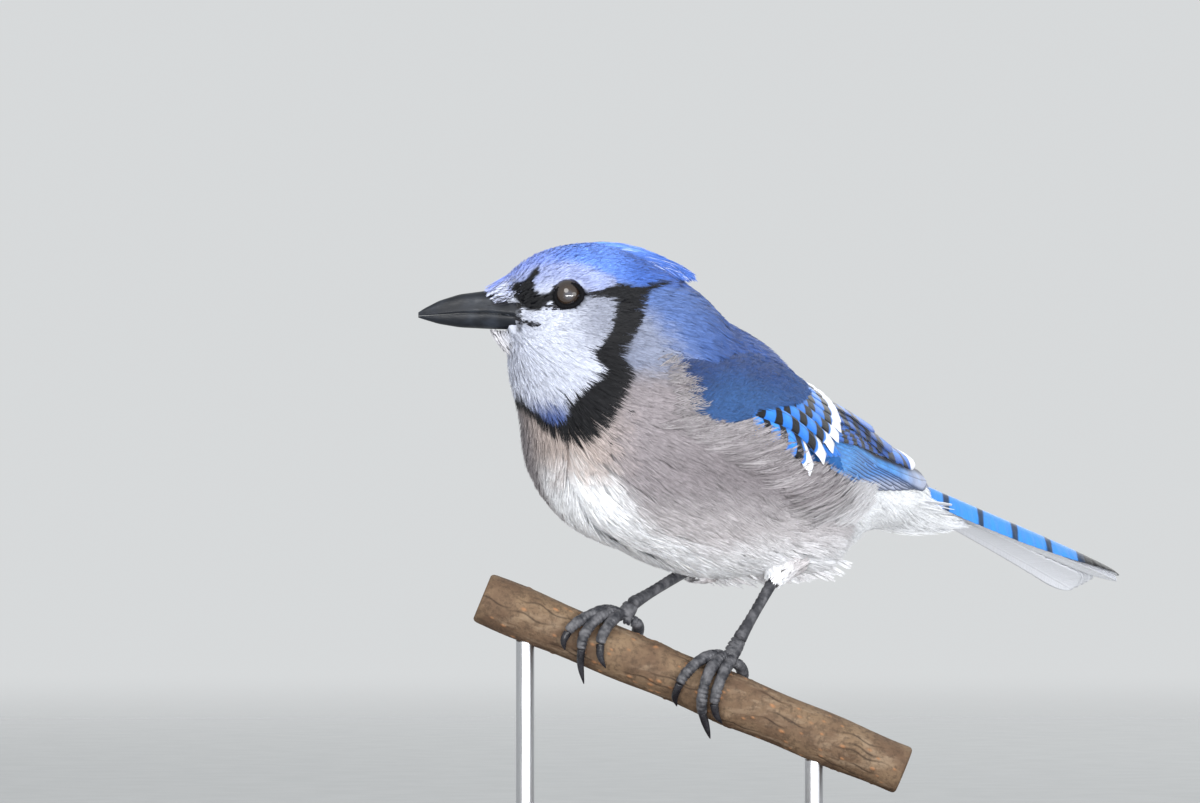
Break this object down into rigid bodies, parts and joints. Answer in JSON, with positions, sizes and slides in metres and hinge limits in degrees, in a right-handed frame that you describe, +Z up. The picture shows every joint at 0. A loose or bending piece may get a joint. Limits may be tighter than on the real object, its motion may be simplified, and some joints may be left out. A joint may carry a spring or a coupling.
{
  "type": "blue jay model",
  "caption": "Life-size still model of a perched blue jay with raised crest, folded barred wings and tail, gripping a cut length of branch held by a flat wooden base and short rods.",
  "frame": {"origin": "middle of the underside of the stand's flat base, on the floor", "axes": "+Z up; +X is the picture's right, so the bird's bill points along -X; +Y goes away from the picture's camera, so -Y faces it"},
  "size_m": [0.1895, 0.1971, 0.1648],
  "materials": {
    "head_feathers": "matt, overlapping crown and cheek feathers",
    "back_feathers": "matt, small overlapping feathers",
    "breast_feathers": "matt, soft hair-like feathers",
    "wing_feathers": "satin vanes with a slight sheen",
    "tail_feathers": "satin vanes with a slight sheen",
    "belly_feathers": "matt, fluffy down",
    "bill": "smooth horn with a soft sheen",
    "eye": "wet gloss",
    "leg_scales": "satin scutes",
    "claw": "smooth horn",
    "bark": "dry smooth bark with raised scars",
    "stand_wood": "oiled satin",
    "stand_metal": "brushed"
  },
  "bodies": {
    "root": {"neck": "back_feathers", "torso": "breast_feathers", "wing_left": "wing_feathers", "wing_right": "wing_feathers", "tail": "tail_feathers", "head": "head_feathers", "eye_left": "eye", "eye_right": "eye", "bill_upper": "bill", "bill_lower": "bill", "perch": "bark", "thigh_left": "belly_feathers", "tarsus_left": "leg_scales", "foot_left": "leg_scales", "claw_left_1": "claw", "claw_left_2": "claw", "claw_left_3": "claw", "claw_left_4": "claw", "thigh_right": "belly_feathers", "tarsus_right": "leg_scales", "foot_right": "leg_scales", "claw_right_1": "claw", "claw_right_2": "claw", "claw_right_3": "claw", "claw_right_4": "claw", "stand_base": "stand_wood", "stand_rod_1": "stand_metal", "stand_rod_2": "stand_metal"}
  },
  "joints": []
}
